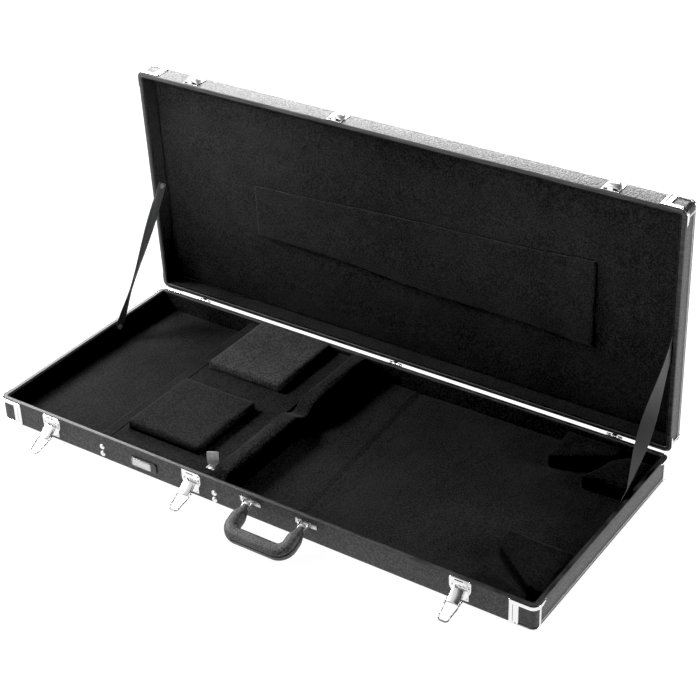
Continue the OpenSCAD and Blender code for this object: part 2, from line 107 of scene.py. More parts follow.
area_light("key", (-2.2, -0.4, 1.75), (-0.05, -0.05, 0), (0.8, 0.8), 72)
area_light("floor_strip", (0.15, -0.13, 2.4), (0.15, -0.125, 0), (1.0, 0.12), 0.2, 10)
area_light("front_fill", (-1.9, -2.3, 0.8), (-0.1, 0.2, 0.3), (1.6, 1.0), 16)
area_light("lid_spot_left", (-0.7, -1.5, 1.7), (-0.45, 0.25, 0.57), (0.8, 0.5), 0.75, 26)
area_light("lid_spot_right", (0.6, -1.5, 1.7), (0.48, 0.25, 0.66), (0.8, 0.5), 1.05, 23)
area_light("lid_end_spot", (1.8, -1.2, 1.4), (-0.55, 0.25, 0.42), (0.3, 0.3), 0.55, 12)
area_light("front_card", (-0.9, -1.3, 2.2), (0.1, -0.25, 0), (3.0, 1.2), 8, diffuse=False)
area_light("back_softbox", (-2.1, 2.8, 2.2), (-0.1, 0.3, 0.4), (4.4, 1.8), 287)
area_light("right_card", (3.2, 0.9, 0.9), (-0.05, 0.1, 0.15), (1.2, 1.6), 60)


# ---- materials -------------------------------------------------------------------------

class Shader:
    """One node material: constants sit on the shader's sockets, patterns are linked in."""

    def __init__(self, name, **sockets):
        self.material = bpy.data.materials.new(name)
        self.material.use_nodes = True
        self.tree = self.material.node_tree
        self.bsdf = self.tree.nodes["Principled BSDF"]
        for socket, value in sockets.items():
            self.bsdf.inputs[socket.replace("_", " ")].default_value = value
        self.coords = self.tree.nodes.new("ShaderNodeTexCoord").outputs["Object"]

    def use_uv(self):
        self.coords = self.tree.nodes.new("ShaderNodeTexCoord").outputs["UV"]
        return self

    def node(self, kind, inputs=(), **settings):
        made = self.tree.nodes.new("ShaderNode" + kind)
        for key, value in settings.items():
            setattr(made, key, value)
        for socket, value in dict(inputs).items():
            if isinstance(value, bpy.types.NodeSocket):
                self.tree.links.new(value, made.inputs[socket])
            else:
                made.inputs[socket].default_value = value
        return made

    def stretched(self, scale):
        return self.node("Mapping", {"Vector": self.coords, "Scale": scale}).outputs["Vector"]

    def noise(self, scale, detail=3.0, rough=0.5, vector=None):
        return self.node("TexNoise", {"Vector": vector or self.coords, "Scale": scale,
                                      "Detail": detail, "Roughness": rough}).outputs["Fac"]

    def cells(self, scale):
        return self.node("TexVoronoi", {"Vector": self.coords, "Scale": scale},
                         feature="SMOOTH_F1").outputs["Distance"]

    def remap(self, value, low, high, to_low, to_high):
        return self.node("MapRange", {"Value": value, "From Min": low, "From Max": high,
                                      "To Min": to_low, "To Max": to_high}).outputs["Result"]

    def math(self, kind, a, b):
        return self.node("Math", {0: a, 1: b}, operation=kind).outputs[0]

    def tint(self, value, dark, light):
        """Base colour from dark at value 0 to light at value 1."""
        mix = self.node("Mix", {"Factor": value}, data_type="RGBA")
        mix.inputs["A"].default_value = (*dark, 1)
        mix.inputs["B"].default_value = (*light, 1)
        self.tree.links.new(mix.outputs["Result"], self.bsdf.inputs["Base Color"])
        return self

    def rough(self, value, low, high):
        self.tree.links.new(self.remap(value, 0, 1, low, high), self.bsdf.inputs["Roughness"])
        return self

    def bump(self, *layers):
        """Each layer is (height, depth in metres, strength)."""
        normal = None
        for height, depth, strength in layers:
            inputs = {"Height": height, "Distance": depth, "Strength": strength}
            if normal:
                inputs["Normal"] = normal
            normal = self.node("Bump", inputs).outputs["Normal"]
        self.tree.links.new(normal, self.bsdf.inputs["Normal"])
        return self


def grey(v, warm=0.0):
    return (v * (1 + warm), v, v * (1 - warm))


def make_tolex():
    s = Shader("tolex_vinyl", Specular_IOR_Level=0.55)
    grain = s.cells(330)
    wrinkle = s.noise(300, 3, 0.7)
    scuff = s.remap(s.noise(14, 5, 0.7), 0.60, 0.8, 0, 1)
    speckle = s.remap(s.noise(340, 2, 0.8), 0.44, 0.60, 0, 1)
    s.tint(s.math("ADD", s.math("MULTIPLY", speckle, 0.75), s.math("MULTIPLY", scuff, 0.3)),
           grey(0.004, -0.02), grey(0.075, -0.02))
    s.rough(s.math("ADD", s.remap(grain, 0, 0.6, 0.8, 0.1), s.math("MULTIPLY", scuff, 0.3)),
            0.36, 0.62)
    return s.bump((s.remap(grain, 0, 0.7, 1, 0), 0.0006, 0.8), (wrinkle, 0.0005, 0.7)).material


def make_binding():
    s = Shader("rim_binding_vinyl", Specular_IOR_Level=0.6)
    streak = s.noise(260, 3, 0.7, s.stretched((0.08, 0.08, 1)))
    s.tint(s.remap(streak, 0.4, 0.6, 0, 1), grey(0.004), grey(0.040))
    s.rough(streak, 0.34, 0.56)
    return s.bump((s.noise(300, 3, 0.6), 0.0002, 0.5)).material


def make_plush(name, dark, light, pile, sheen, sides=1.0):
    """Velvet pile; sides below 1 paints shade onto upright faces, darkening their colour by the
    normal.
    """
    s = Shader(name, Roughness=1.0, Specular_IOR_Level=0.15, Sheen_Weight=sheen,
               Sheen_Roughness=0.45)
    brushed = s.noise(9, 3, 0.55)
    fibre = s.noise(pile, 3, 0.85)
    nap = s.noise(70, 3, 0.6, s.stretched((1, 0.35, 1)))
    mixed = s.math("ADD", s.remap(brushed, 0.35, 0.65, 0, 0.2),
                   s.math("ADD", s.remap(fibre, 0.42, 0.60, 0, 0.8),
                          s.remap(nap, 0.4, 0.65, 0, 0.12)))
    # painted shade: with sides below 1 the colour of upright faces is darkened by their normal,
    # standing in for the shade that falls on them
    if sides < 1:
        up = s.node("SeparateXYZ", {0: s.node("NewGeometry").outputs["Normal"]}).outputs["Z"]
        mixed = s.math("MULTIPLY", mixed, s.remap(up, 0.2, 0.8, sides, 1))
    s.tint(mixed, dark, light)
    return s.bump((fibre, 0.0008, 0.8), (nap, 0.0007, 0.35)).material


def make_metal(name, base, low, high):
    """Plated or bare metal whose roughness runs from low to high in smears."""
    s = Shader(name, Base_Color=(*base, 1), Metallic=1.0)
    s.rough(s.noise(90, 4, 0.6), low, high)
    return s.bump((s.noise(130, 2, 0.5), 0.00005, 0.35)).material


def make_webbing():
    s = Shader("webbing_weave", Roughness=0.85, Sheen_Weight=0.25,
               Sheen_Roughness=0.5).use_uv()

    def threads(scale, distortion, direction):
        """Bands over the UV, which runs in metres along and across the strap."""
        return s.node("TexWave", {"Vector": s.coords, "Scale": scale,
                                  "Distortion": distortion, "Detail": 1.0},
                      wave_type="BANDS", bands_direction=direction).outputs["Fac"]

    weave = s.math("MULTIPLY", threads(210.0, 0.4, "X"), threads(130.0, 0.2, "Y"))
    fuzz = s.noise(2500, 3, 0.6)
    s.tint(s.math("ADD", weave, s.remap(fuzz, 0.3, 0.7, -0.15, 0.25)), grey(0.034), grey(0.085))
    return s.bump((weave, 0.0005, 0.8), (fuzz, 0.0001, 0.4)).material


def make_vinyl():
    s = Shader("tab_vinyl", Roughness=0.55)
    grain = s.cells(1300)
    s.tint(s.remap(s.noise(160, 4, 0.6), 0.35, 0.65, 0, 1), grey(0.48), grey(0.60))
    return s.bump((s.remap(grain, 0, 0.7, 1, 0), 0.0001, 0.6)).material


def make_handle():
    s = Shader("handle_moulding", Specular_IOR_Level=0.5)
    grain = s.cells(420)
    speckle = s.remap(s.noise(340, 2, 0.8), 0.42, 0.60, 0, 0.8)
    wear = s.remap(s.noise(30, 4, 0.6), 0.35, 0.7, 0, 0.35)
    s.tint(s.math("ADD", speckle, wear), grey(0.008), grey(0.125))
    s.rough(speckle, 0.45, 0.7)
    return s.bump((s.remap(grain, 0, 0.7, 1, 0), 0.0004, 0.9),
                  (s.noise(120, 3, 0.5), 0.0004, 0.4)).material


def make_badge():
    s = Shader("badge_plastic", Coat_Weight=0.4, Coat_Roughness=0.1)
    s.tint(s.noise(220, 3, 0.5), grey(0.014), grey(0.03))
    s.rough(s.noise(300, 3, 0.5), 0.25, 0.5)
    return s.bump((s.noise(900, 2, 0.5), 0.00004, 0.4)).material


def make_bead():
    s = Shader("bead_extrusion", Specular_IOR_Level=0.6)
    s.tint(s.noise(40, 3, 0.6), grey(0.30), grey(0.46))
    s.rough(s.noise(120, 3, 0.5), 0.25, 0.45)
    return s.bump((s.noise(400, 2, 0.5), 0.00005, 0.4)).material


def make_wood():
    s = Shader("ledge_wood", Roughness=0.7)
    rings = s.noise(60, 4, 0.6, s.stretched((0.15, 1, 1)))
    s.tint(rings, (0.20, 0.12, 0.06), (0.42, 0.29, 0.17))
    return s.bump((rings, 0.0003, 0.5)).material


def make_floor():
    s = Shader("studio_floor", Roughness=0.9, Emission_Color=(1, 1, 1, 1),
               Emission_Strength=0.96)
    s.tint(s.noise(3, 2, 0.5), grey(0.12), grey(0.13))
    return s.material


TOLEX = make_tolex()
BINDING = make_binding()
PLUSH = make_plush("plush_lining", grey(0.001), grey(0.024), 330, 0.07)
# the two neck pads are one plush: the rear copy is painted lighter and the front copy darker,
# painted light and painted shade for how the light falls on them
REAR_PAD_PAINTED_LIGHT = make_plush("plush_pad_rear_painted_light", grey(0.010), grey(0.085), 300, 0.10)
FRONT_PAD_PAINTED_SHADE = make_plush("plush_pad_front_painted_shade", grey(0.003), grey(0.028), 300, 0.06)
# divider and bolster plush: sides=0.1 paints shade onto their upright faces
DIVIDER = make_plush("plush_divider_painted_side_shade", grey(0.001), grey(0.034), 330, 0.05, sides=0.1)
BOLSTER = make_plush("plush_bolster_painted_side_shade", grey(0.0002), grey(0.016), 330, 0.02, sides=0.1)
CHROME = make_metal("chrome_plate", (0.86, 0.86, 0.87), 0.10, 0.26)
STEEL = make_metal("steel_pin", (0.42, 0.42, 0.43), 0.25, 0.42)
NICKEL = make_metal("nickel_rivet", (0.88, 0.88, 0.89), 0.34, 0.48)
WIRE = make_metal("bright_wire", (0.5, 0.5, 0.51), 0.18, 0.34)
PLAQUE = make_metal("knurled_plaque", (0.62, 0.62, 0.63), 0.16, 0.3)
WEBBING = make_webbing()
VINYL = make_vinyl()
HANDLE = make_handle()
BADGE = make_badge()
BEAD = make_bead()
WOOD = make_wood()


# ---- building blocks -------------------------------------------------------------------

JOINTS = {joint["name"]: joint for joint in frame["joints"]}
HINGE = JOINTS["lid_hinge"]
HINGE_AT = Vector(HINGE["pos_m"])
SHUT_TO_OPEN = (Matrix.Translation(HINGE_AT)
                @ Matrix.Rotation(math.radians(HINGE["range_deg"][0]), 4, "X")
                @ Matrix.Translation(-HINGE_AT))
OPEN_TO_SHUT = SHUT_TO_OPEN.inverted()


def vertex_array(mesh, field="co"):
    values = np.empty(len(mesh.vertices) * 3)
    mesh.vertices.foreach_get(field, values)
    return values.reshape(-1, 3)


def set_coords(mesh, co):
    mesh.vertices.foreach_set("co", np.ascontiguousarray(co, np.float32).ravel())
    mesh.update()


def cad_points(node):
    return vertex_array(frame["nodes"][node].data)


def shut_points(node):
    """A lid node's points as they lie when the case is shut."""
    m = np.array(OPEN_TO_SHUT)
    return cad_points(node) @ m[:3, :3].T + m[:3, 3]


def shut_box(node):
    co = shut_points(node)
    return Vector(co.min(axis=0)), Vector(co.max(axis=0))


def islands(node):
    """(lowest, highest) corners of each separate solid in a CAD node."""
    bm = bmesh.new()
    bm.from_mesh(frame["nodes"][node].data)
    bmesh.ops.remove_doubles(bm, verts=bm.verts, dist=1e-6)
    seen, boxes = set(), []
    for first in bm.verts:
        if first in seen:
            continue
        seen.add(first)
        group, queue = [], [first]
        while queue:
            v = queue.pop()
            group.append(v.co.copy())
            for e in v.link_edges:
                other = e.other_vert(v)
                if other not in seen:
                    seen.add(other)
                    queue.append(other)
        co = np.array(group)
        boxes.append((Vector(co.min(axis=0)), Vector(co.max(axis=0))))
    bm.free()
    return boxes


def centre_of(box):
    return (box[0] + box[1]) / 2


def cos_sin(degrees):
    return math.cos(math.radians(degrees)), math.sin(math.radians(degrees))


def tidy_normals(mesh):
    bm = bmesh.new()
    bm.from_mesh(mesh)
    bmesh.ops.recalc_face_normals(bm, faces=bm.faces)
    bm.to_mesh(mesh)
    bm.free()


def new_mesh(name, parts):
    """One mesh from [(vertices, faces), ...]."""
    verts, faces = [], []
    for part_verts, part_faces in parts:
        start = len(verts)
        verts.extend(tuple(v) for v in part_verts)
        faces.extend(tuple(i + start for i in f) for f in part_faces)
    mesh = bpy.data.meshes.new(name)
    mesh.from_pydata(verts, [], faces)
    return mesh


def make_piece(name, parts, material, body, nodes, slot, **settings):
    return finish_piece(name, new_mesh(name, parts), material, body, nodes, slot, **settings)


def finish_piece(name, mesh, material, body, nodes, slot, lid=False, sharp=35, mend=False):
    """Puts a mesh in the scene. Lid pieces are drawn on the shut lid; mend turns faces out."""
    if lid:
        mesh.transform(SHUT_TO_OPEN)
    mesh.materials.clear()
    mesh.materials.append(material)
    mesh.update()
    mesh.shade_smooth()
    mesh.set_sharp_from_angle(angle=math.radians(sharp))
    if mend:
        tidy_normals(mesh)
    obj = bpy.data.objects.new(name, mesh)
    scene.collection.objects.link(obj)
    if body:
        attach(obj, body)
    if nodes:
        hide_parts(*nodes)
    return obj


def refined(node, material, body, bevel, slot, segments=2):
    """A copy of a CAD node with its edges rounded, which replaces it."""
    bm = bmesh.new()
    bm.from_mesh(frame["nodes"][node].data)
    bmesh.ops.remove_doubles(bm, verts=bm.verts, dist=2e-6)
    bmesh.ops.dissolve_limit(bm, angle_limit=math.radians(1), verts=bm.verts, edges=bm.edges)
    edges = [e for e in bm.edges if e.is_manifold and e.calc_face_angle() > math.radians(28)]
    bmesh.ops.bevel(bm, geom=edges, offset=bevel, segments=segments, profile=0.5,
                    affect="EDGES", clamp_overlap=True)
    mesh = bpy.data.meshes.new(node + "_refined")
    bm.to_mesh(mesh)
    bm.free()
    finish_piece(node + "_piece", mesh, material, body, [node], slot)


def grid_faces(rows, columns, close_rows=False, close_columns=False, keep=None):
    faces = []
    for i in range(rows if close_rows else rows - 1):
        for j in range(columns if close_columns else columns - 1):
            if keep is None or keep(i, j):
                here, after = i * columns, (i + 1) % rows * columns
                k = (j + 1) % columns
                faces.append((here + j, here + k, after + k, after + j))
    return faces


def closed_faces(rows, sides):
    """A tube of rows rings with both ends filled."""
    last = (rows - 1) * sides
    return grid_faces(rows, sides, close_columns=True) + [
        tuple(reversed(range(sides))), tuple(range(last, last + sides))]


def outline(half_l, half_w, r, seg=8):
    """Stations round a rounded rectangle: corner centre, outward normal, end-wall flag."""
    stations = []
    for k, (sx, sy) in enumerate(((1, -1), (1, 1), (-1, 1), (-1, -1))):
        for i in range(seg + 1):
            normal = Vector((*cos_sin(90 * (k - 1) + 90 * i / seg), 0))
            on_end = (k in (0, 2) and i == seg) or (k in (1, 3) and i == 0)
            stations.append((Vector((sx * (half_l - r), sy * (half_w - r), 0)), normal, on_end))
    return stations


def ring(stations, r, profile):
    """Sweeps [(inset, z, inset on the end walls), ...] round an outline of radius r."""
    verts = []
    for centre, normal, on_end in stations:
        for inset, z, end_inset in profile:
            d = end_inset if on_end else inset
            verts.append(centre + normal * (r - d) + UP * z)
    return verts


def quarter(cx, cz, radius, start, stop, steps=5):
    turns = (cos_sin(start + (stop - start) * i / steps) for i in range(steps + 1))
    return [(cx + radius * c, cz + radius * s) for c, s in turns]


def tube(points, radius, sides=12, cap=True):
    """Round tube along points."""
    points = [Vector(p) for p in points]
    verts, side = [], None
    for i, p in enumerate(points):
        ahead = points[min(i + 1, len(points) - 1)] - points[max(i - 1, 0)]
        ahead.normalize()
        if side is None:
            side = ahead.cross(UP)
            if side.length < 1e-3:
                side = Vector((1, 0, 0))
        side = (side - ahead * side.dot(ahead)).normalized()
        other = ahead.cross(side)
        for k in range(sides):
            c, s = cos_sin(360 * k / sides)
            verts.append(p + (side * c + other * s) * radius)
    if cap:
        return verts, closed_faces(len(points), sides)
    return verts, grid_faces(len(points), sides, close_columns=True)


def turned(profile, centre, axis, sides=28, height=None):
    """Solid of revolution from [(radius, height), ...] rising along axis from centre."""
    axis = Vector(axis).normalized()
    side = axis.orthogonal().normalized()
    other = axis.cross(side)
    verts = []
    for r, h in profile:
        for k in range(sides):
            a = 2 * math.pi * k / sides
            lift = h + (height(r, a) if height else 0)
            verts.append(Vector(centre) + axis * lift
                         + (side * math.cos(a) + other * math.sin(a)) * r)
    return verts, closed_faces(len(profile), sides)


def rivet_head(centre, axis, r):
    """Domed head on a thin flange."""
    dome = [(r * c, r * (0.12 + 0.42 * s)) for c, s in map(cos_sin, range(10, 90, 11))]
    return turned([(r, -0.0003), (r * 1.12, 0), (r * 1.12, r * 0.08), (r * 1.04, r * 0.13)]
                  + dome + [(r * 0.04, r * 0.545)], centre, axis)


def smooth_step(t):
    t = min(max(t, 0.0), 1.0)
    return t * t * (3 - 2 * t)


def plateau(u, z, u0, u1, z0, z1, height, roll=1.0):
    """Raised rectangle in millimetres whose edges roll down to nothing."""
    return (height * smooth_step((u - u0) / roll) * smooth_step((u1 - u) / roll)
            * smooth_step((z - z0) / roll) * smooth_step((z1 - z) / roll))


def dimple(u, z, cu, cz, r, depth):
    return -depth * math.exp(-((u - cu) ** 2 + (z - cz) ** 2) / (r * r))


def thicken(obj, thickness):
    modifier = obj.modifiers.new("thickness", "SOLIDIFY")
    modifier.thickness = thickness
    modifier.offset = -1.0


def applied(obj):
    """Bakes the object's modifiers into its mesh."""
    bpy.context.view_layer.update()
    done = obj.evaluated_get(bpy.context.evaluated_depsgraph_get())
    mesh = bpy.data.meshes.new_from_object(done)
    obj.modifiers.clear()
    obj.data = mesh
    return mesh


def prism(points, z0, z1):
    """Closed prism on [x, y] points given counter-clockwise."""
    n = len(points)
    verts = [(x, y, z0) for x, y in points] + [(x, y, z1) for x, y in points]
    faces = [tuple(reversed(range(n))), tuple(range(n, 2 * n))]
    faces += [(i, (i + 1) % n, n + (i + 1) % n, n + i) for i in range(n)]
    return verts, faces


def block(lo, hi):
    return prism([(lo[0], lo[1]), (hi[0], lo[1]), (hi[0], hi[1]), (lo[0], hi[1])], lo[2], hi[2])


def soft_piece(name, parts, body, nodes, material, voxel, edge, ripple=0.0004,
               crown=None, swell=None, lid=False, ripple_scale=14, smooth=3):
    """Padded piece: rounded edges, an even skin, a cloth swell or a crown, then ripples."""
    mesh = new_mesh(name, parts)
    bm = bmesh.new()
    bm.from_mesh(mesh)
    sharp = [e for e in bm.edges if e.is_manifold and e.calc_face_angle() > math.radians(20)]
    bmesh.ops.bevel(bm, geom=sharp, offset=edge, segments=4, profile=0.5, affect="EDGES",
                    clamp_overlap=True)
    bmesh.ops.recalc_face_normals(bm, faces=bm.faces)
    bm.to_mesh(mesh)
    bm.free()
    obj = bpy.data.objects.new(name, mesh)
    scene.collection.objects.link(obj)
    remesh = obj.modifiers.new("skin", "REMESH")
    remesh.mode = "VOXEL"
    remesh.voxel_size = voxel
    relax = obj.modifiers.new("relax", "SMOOTH")
    relax.factor = 0.5
    relax.iterations = smooth
    mesh = applied(obj)
    if swell:
        cloth_swell(obj, *swell)
        mesh = obj.data
    co = vertex_array(mesh)
    if crown:
        co = crown(co)
    lift = np.array([noise.noise(Vector(p) * ripple_scale)
                     + 0.5 * noise.noise(Vector(p) * ripple_scale * 3.1) for p in co])
    set_coords(mesh, co + vertex_array(mesh, "normal") * (lift * ripple)[:, None])
    bpy.data.objects.remove(obj)
    mesh.name = name
    made = finish_piece(name, mesh, material, body, nodes, "plush", lid=lid, sharp=180)


def cloth_swell(obj, pressure, cap, floor_z):
    """Swells a closed skin with Blender's cloth, moving no point further than cap."""
    start = vertex_array(obj.data)
    held = [i for i, p in enumerate(start) if p[2] < floor_z + 0.002]
    group = obj.vertex_groups.new(name="held")
    group.add(held, 1.0, "REPLACE")
    cloth = obj.modifiers.new("cloth", "CLOTH")
    settings = cloth.settings
    settings.quality = 4
    settings.mass = 0.3
    settings.tension_stiffness = settings.compression_stiffness = 12
    settings.shear_stiffness = 8
    settings.bending_stiffness = 0.6
    settings.use_pressure = True
    settings.uniform_pressure_force = pressure
    settings.vertex_group_mass = "held"
    settings.effector_weights.gravity = 0
    cloth.point_cache.frame_start, cloth.point_cache.frame_end = 1, 16
    for f in range(1, 17):
        scene.frame_set(f)
    done = obj.evaluated_get(bpy.context.evaluated_depsgraph_get())
    moved = vertex_array(done.data) - start
    far = np.linalg.norm(moved, axis=1)
    moved *= (np.minimum(far, cap) / np.maximum(far, 1e-9))[:, None]
    co = start + moved
    co[:, 2] = np.maximum(co[:, 2], floor_z)
    obj.modifiers.clear()
    obj.vertex_groups.clear()
    scene.frame_set(1)
    set_coords(obj.data, co)


# ---- tray shells: tolex over plywood ---------------------------------------------------

panel_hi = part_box("base_bottom_panel")[1]
front_lo, front_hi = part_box("base_front_wall")
HALF_L, HALF_W = panel_hi[0], panel_hi[1]
WALL = front_hi[1] - front_lo[1]
PANEL = panel_hi[2]
RIM = front_hi[2]
CORNER = 0.012
LINING = 0.003
BEAD_IN = 0.009
LID_RIM = shut_box("lid_front_wall")[0].z
LID_ROOF, LID_TOP = (corner.z for corner in shut_box("lid_top_panel"))


def shell_profile(outer_z, inner_z, rim_z):
    """[(inset, z, inset on the end walls)] from the inner foot over the rim to outside."""
    up = 1 if rim_z > outer_z else -1
    fold, edge = 1.6 * MM, 3.2 * MM
    bead = outer_z + up * BEAD_IN
    points = [(WALL, inner_z)]
    points += [(WALL - x, rim_z - up * (fold - z))
               for x, z in quarter(fold, 0, fold, 180, 90)]
    points += [(x, rim_z - up * (fold - z)) for x, z in quarter(fold, 0, fold, 90, 180)]
    profile = [(d, z, d) for d, z in points]
    for dz, cut in ((2.3, 0), (1.7, 1.1), (-1.7, 1.1), (-2.3, 0)):
        profile.append((0, bead + up * dz * MM, cut * MM))
    profile += [(x, outer_z + up * (edge - z), x)
                for x, z in quarter(edge, 0, edge, 180, 90)]
    return profile


def tray_shell(body, panel, outer_z, inner_z, rim_z, lid=False):
    nodes = [body + "_" + part for part in (panel, "front_wall", "back_wall", "left_wall",
                                            "right_wall")]
    stations = outline(HALF_L, HALF_W, CORNER)
    profile = shell_profile(outer_z, inner_z, rim_z)
    verts = ring(stations, CORNER, profile)
    rows, columns = len(stations), len(profile)
    faces = grid_faces(rows, columns, close_rows=True)
    faces.append(tuple(i * columns for i in range(rows)))
    faces.append(tuple(i * columns + columns - 1 for i in reversed(range(rows))))
    if rim_z < outer_z:
        faces = [tuple(reversed(f)) for f in faces]
    make_piece(body + "_tolex_tray", [(verts, faces)], TOLEX, body, nodes, "tolex", lid=lid,
               sharp=50, mend=True)


tray_shell("base", "bottom_panel", 0, PANEL, RIM)
tray_shell("lid", "top_panel", LID_TOP, LID_ROOF, LID_RIM, lid=True)


def rim_binding(body, rim_z, up, lid=False):
    """Thin glossy vinyl binding pressed over the tray's rim."""
    fold = 1.6 * MM

    def over(r):
        arcs = quarter(WALL - fold, 0, r, 0, 90, 7) + quarter(fold, 0, r, 90, 180, 7)
        return [(d, rim_z - up * (fold - z), d) for d, z in arcs]

    profile = over(1.8 * MM) + over(1.3 * MM)[::-1]
    stations = outline(HALF_L, HALF_W, CORNER)
    faces = grid_faces(len(stations), len(profile), close_rows=True, close_columns=True)
    make_piece(body + "_rim_binding", [(ring(stations, CORNER, profile), faces)], BINDING,
               body, (), "tolex", lid=lid, sharp=60, mend=True)


rim_binding("base", RIM, 1)
rim_binding("lid", LID_RIM, -1, lid=True)


def end_beads(body, z, lid=False):
    """The light beading let into both end walls."""
    parts = []
    for sx in (-1, 1):
        x = sx * (HALF_L - 0.2 * MM)
        ys = np.linspace(-HALF_W + CORNER, HALF_W - CORNER, 40)
        parts.append(tube([(x, y, z + 0.12 * MM * noise.noise(Vector((x, y * 9, 0))))
                           for y in ys], 1.3 * MM, 12))
    make_piece(body + "_end_beading", parts, BEAD, body, [body + "_end_beads"], "bead",
               lid=lid)


end_beads("base", BEAD_IN)
end_beads("lid", LID_TOP - BEAD_IN, lid=True)


def lining(body, foot_z, rim_z, lid=False):
    """Plush on the inside of the walls, its top edge rolled over."""
    up = 1 if rim_z > foot_z else -1
    r = LINING / 2
    top = rim_z - up * 1.5 * MM
    profile = [(WALL - 0.1 * MM, foot_z)]
    profile += [(WALL - 0.1 * MM + x, top - up * (r - z)) for x, z in
                quarter(r, 0, r, 180, 0, 8)]
    levels = np.linspace(top - up * 2 * r, foot_z + up * 2 * MM, 8)
    profile += [(WALL + LINING, z) for z in levels]
    profile.append((WALL + LINING, foot_z))
    stations = outline(HALF_L, HALF_W, CORNER, 6)
    dense = []
    for (c, n, _), (c2, n2, _) in zip(stations, stations[1:] + stations[:1]):
        steps = max(1, int((c2 + n2 * CORNER - c - n * CORNER).length / 0.02))
        straight = (n - n2).length < 1e-6
        dense += [(c.lerp(c2, k / steps) if straight else c, n) for k in range(steps)]
    verts = []
    for centre, normal in dense:
        for d, z in profile:
            p = centre + normal * (CORNER - d) + UP * z
            if d > WALL + 1 * MM:
                p += normal * (-0.0005 * (0.5 + noise.noise(p * 22)))
            verts.append(p)
    rows, columns = len(dense), len(profile)
    faces = grid_faces(rows, columns, close_rows=True, close_columns=True)
    made = make_piece(body + "_wall_plush", [(verts, faces)], PLUSH, body,
                      [body + "_wall_lining"], "plush", lid=lid, sharp=180, mend=True)


lining("base", PANEL, RIM)
lining("lid", LID_ROOF, LID_RIM, lid=True)


# ---- padded interior -------------------------------------------------------------------

def bolster_outline(node):
    """The [x, y] outline of an upright CAD prism, counter-clockwise."""
    co = cad_points(node)
    top = co[:, 2].max()
    points = {(round(p[0], 5), round(p[1], 5)) for p in co if p[2] > top - 1e-4}
    cx = sum(p[0] for p in points) / len(points)
    cy = sum(p[1] for p in points) / len(points)
    return sorted(points, key=lambda p: math.atan2(p[1] - cy, p[0] - cx))


def floor_piece(place, side="", seam=0):
    """Floor pad; seam is the side (-1 or 1) on which it sinks into the slanting seam."""
    node = place + "_floor_pad" + side
    lo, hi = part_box(node)
    mid = (lo[0] + hi[0]) / 2
    points = [(x + math.copysign(0.8 * MM, x - mid), y) for x, y in bolster_outline(node)]

    def sink(co):
        edge = sorted((p for p in points if (p[0] - mid) * seam > 0), key=lambda p: p[1])
        a, b = np.array(edge[0]), np.array(edge[-1])
        run = (b - a) / np.linalg.norm(b - a)
        d = np.abs((co[:, 0] - a[0]) * run[1] - (co[:, 1] - a[1]) * run[0]) / MM
        if seam > 0:
            drop = 0.5 + 0.5 * np.cos(np.pi * np.clip(d / 14, 0, 1))
        else:
            drop = np.exp(-d / 45)
        share = np.clip((co[:, 2] - lo[2]) / (hi[2] - lo[2]), 0, 1)
        co[:, 2] -= share * drop * 0.3 * (hi[2] - lo[2])
        return co

    soft_piece(place + "_floor_plush" + side, [prism(points, lo[2], hi[2] - 0.3 * MM)],
               "base", [node], PLUSH, 0.0012, 0.0008, ripple_scale=9, smooth=1,
               crown=sink if seam else None)


floor_piece("headstock")
floor_piece("compartment")
floor_piece("body", "_left", seam=1)
floor_piece("body", "_right", seam=-1)

for side in ("rear_side", "rear_end", "front_end", "front_side"):
    node = "bolster_" + side
    lo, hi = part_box(node)
    soft_piece(node + "_cushion", [prism(bolster_outline(node), lo[2], hi[2] - 0.8 * MM)],
               "base", [node], BOLSTER, 0.0025, 0.002, ripple=0.0003,
               swell=(2.0, 0.0018, lo[2]), smooth=2)

lo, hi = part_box("left_divider")
soft_piece("left_divider_plush", [block(lo, hi)], "base", ["left_divider"], PLUSH, 0.003,
           0.002, ripple=0.0003)


def divider_parts():
    """The right divider's own side view, read from the CAD node and extruded again."""
    co = cad_points("right_divider")
    left = co[:, 0].min()
    right = co[:, 0].max()
    seen = sorted({(round(p[1], 5), round(p[2], 5)) for p in co if p[0] < left + 1e-4})
    foot = min(z for _, z in seen)
    upper = [p for p in seen if p[1] > foot + 1e-4]
    ends = (upper[0][0], upper[-1][0])
    arch = [(y, z) for y, z in upper
            if y not in ends or z == max(q[1] for q in upper if q[0] == y)]
    side = [(ends[0], foot), (ends[1], foot)] + arch[::-1]
    n = len(side)
    verts = [(x, y, z) for x in (left - 0.6 * MM, right - 0.4 * MM) for y, z in side]
    faces = [tuple(range(n)), tuple(reversed(range(n, 2 * n)))]
    faces += [(i, n + i, n + (i + 1) % n, (i + 1) % n) for i in range(n)]
    return verts, faces


soft_piece("right_divider_cushion", [divider_parts()], "base", ["right_divider"], DIVIDER,
           0.003, 0.0025, swell=(2.0, 0.0015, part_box("right_divider")[0][2]), smooth=2)

lo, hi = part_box("compartment_lid")
soft_piece("compartment_lid_board", [block(lo, hi)], "compartment_lid", ["compartment_lid"],
           PLUSH, 0.003, 0.0018, ripple=0.0002)

for node, material in (("rear_neck_pad", REAR_PAD_PAINTED_LIGHT), ("front_neck_pad", FRONT_PAD_PAINTED_SHADE)):
    lo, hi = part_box(node)
    pad = block((lo[0] - 0.5 * MM, lo[1] - 0.5 * MM, lo[2]),
                (hi[0] + 1 * MM, hi[1] + 0.5 * MM, hi[2]))
    soft_piece(node + "_cushion", [pad], "compartment_lid", [node], material, 0.0022, 0.001,
               ripple=0.00025, swell=(1.5, 0.0012, lo[2]), smooth=1)

lo, hi = shut_box("lid_top_lining")
soft_piece("lid_top_plush", [block(lo, hi)], "lid", ["lid_top_lining"], PLUSH, 0.006, 0.001,
           ripple=0.0006, lid=True, ripple_scale=7)


